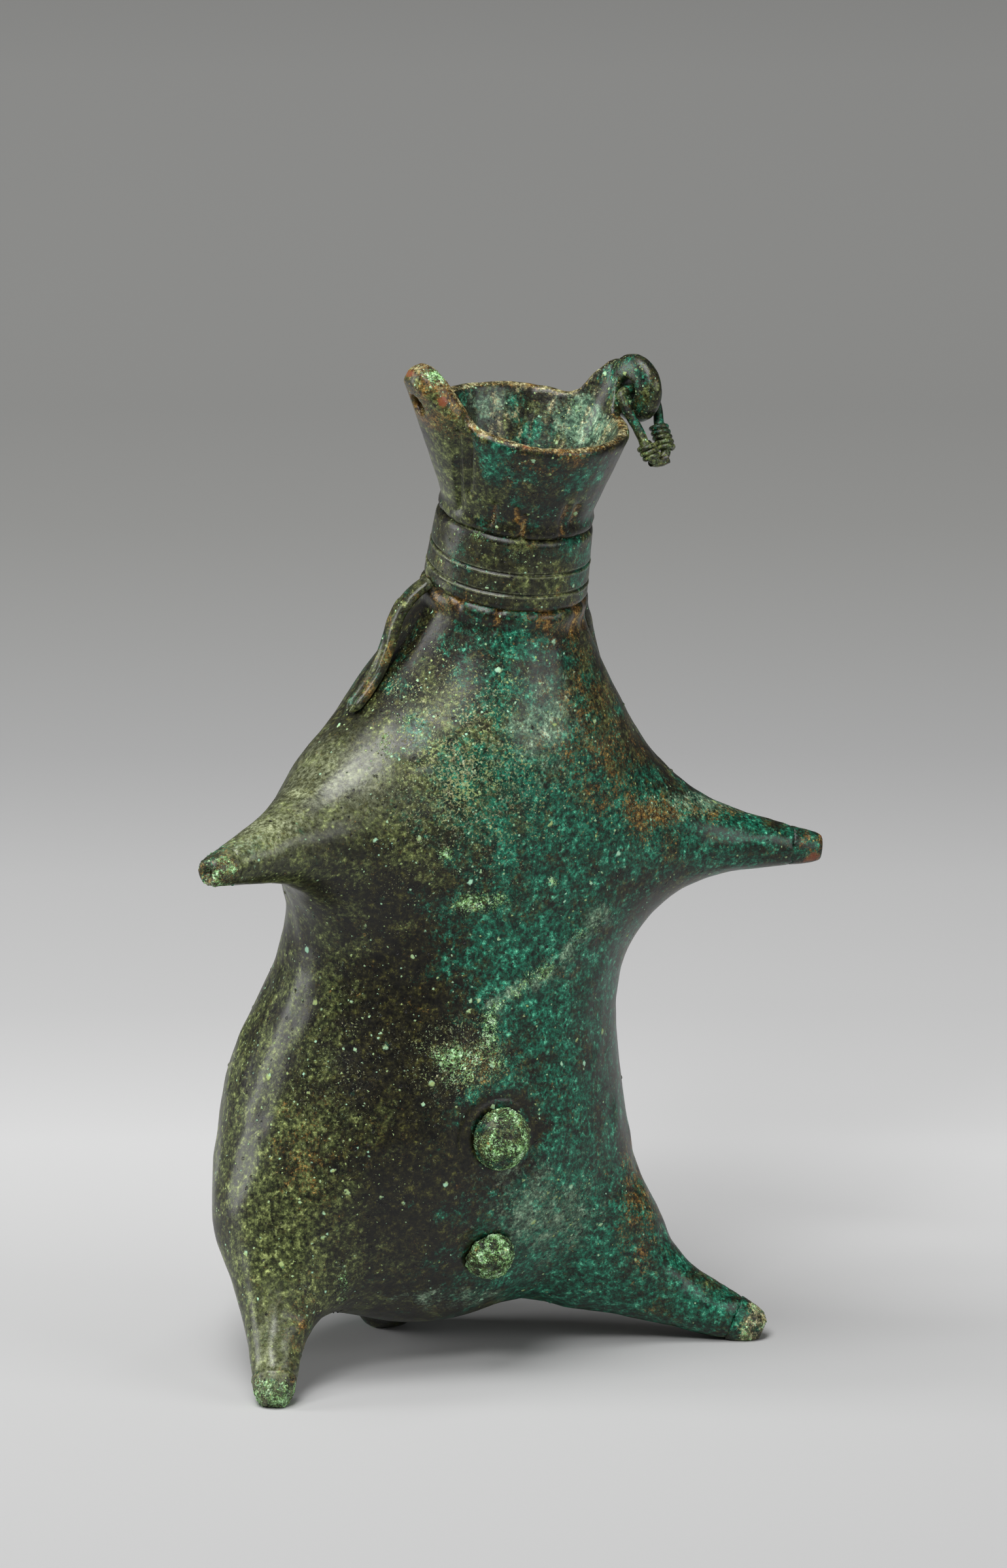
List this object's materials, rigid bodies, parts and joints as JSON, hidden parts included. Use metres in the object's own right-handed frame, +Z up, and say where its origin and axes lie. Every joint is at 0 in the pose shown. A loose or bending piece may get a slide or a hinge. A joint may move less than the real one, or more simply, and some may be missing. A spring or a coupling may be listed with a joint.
{
  "type": "bronze oil flask",
  "caption": "Hollow bronze oil flask shaped as a tied animal skin, with a flared pierced-ear mouth, stump limbs to stand on and a swinging wire ring for hanging.",
  "frame": {"origin": "on the ground under the middle of the overall box", "axes": "+Z up, belly and studs towards -Y, the ear with the ring towards +X"},
  "size_m": [0.0862, 0.042, 0.1268],
  "materials": {
    "bronze_skin": "semi-gloss dark green-brown patina with teal and mint spots",
    "bronze_funnel": "semi-gloss green-brown patina with ochre rim",
    "bronze_tie": "worn olive-brown patina with ochre in the grooves",
    "bronze_stud": "matt granular pale green patina",
    "bronze_cap": "worn green patina with red-brown spots",
    "bronze_wire": "green-brown patina on drawn wire"
  },
  "bodies": {
    "flask": {"skin_body": "bronze_skin", "mouth_funnel": "bronze_funnel", "neck_tie": "bronze_tie", "tie_end_left": "bronze_tie", "tie_end_right": "bronze_tie", "navel_boss": "bronze_stud", "sheath_boss": "bronze_stud", "fore_cap_left": "bronze_cap", "fore_cap_right": "bronze_cap", "hind_cap_left": "bronze_cap", "hind_cap_right": "bronze_cap"},
    "ring": {"suspension_ring": "bronze_wire"}
  },
  "joints": [
    {"name": "ring_swing", "type": "hinge", "parent": "flask", "child": "ring", "pos_m": [0.01988, -0.00703, 0.11982], "axis": [-0.9675, -0.2502, 0.0366], "range_deg": [0, 150]}
  ]
}
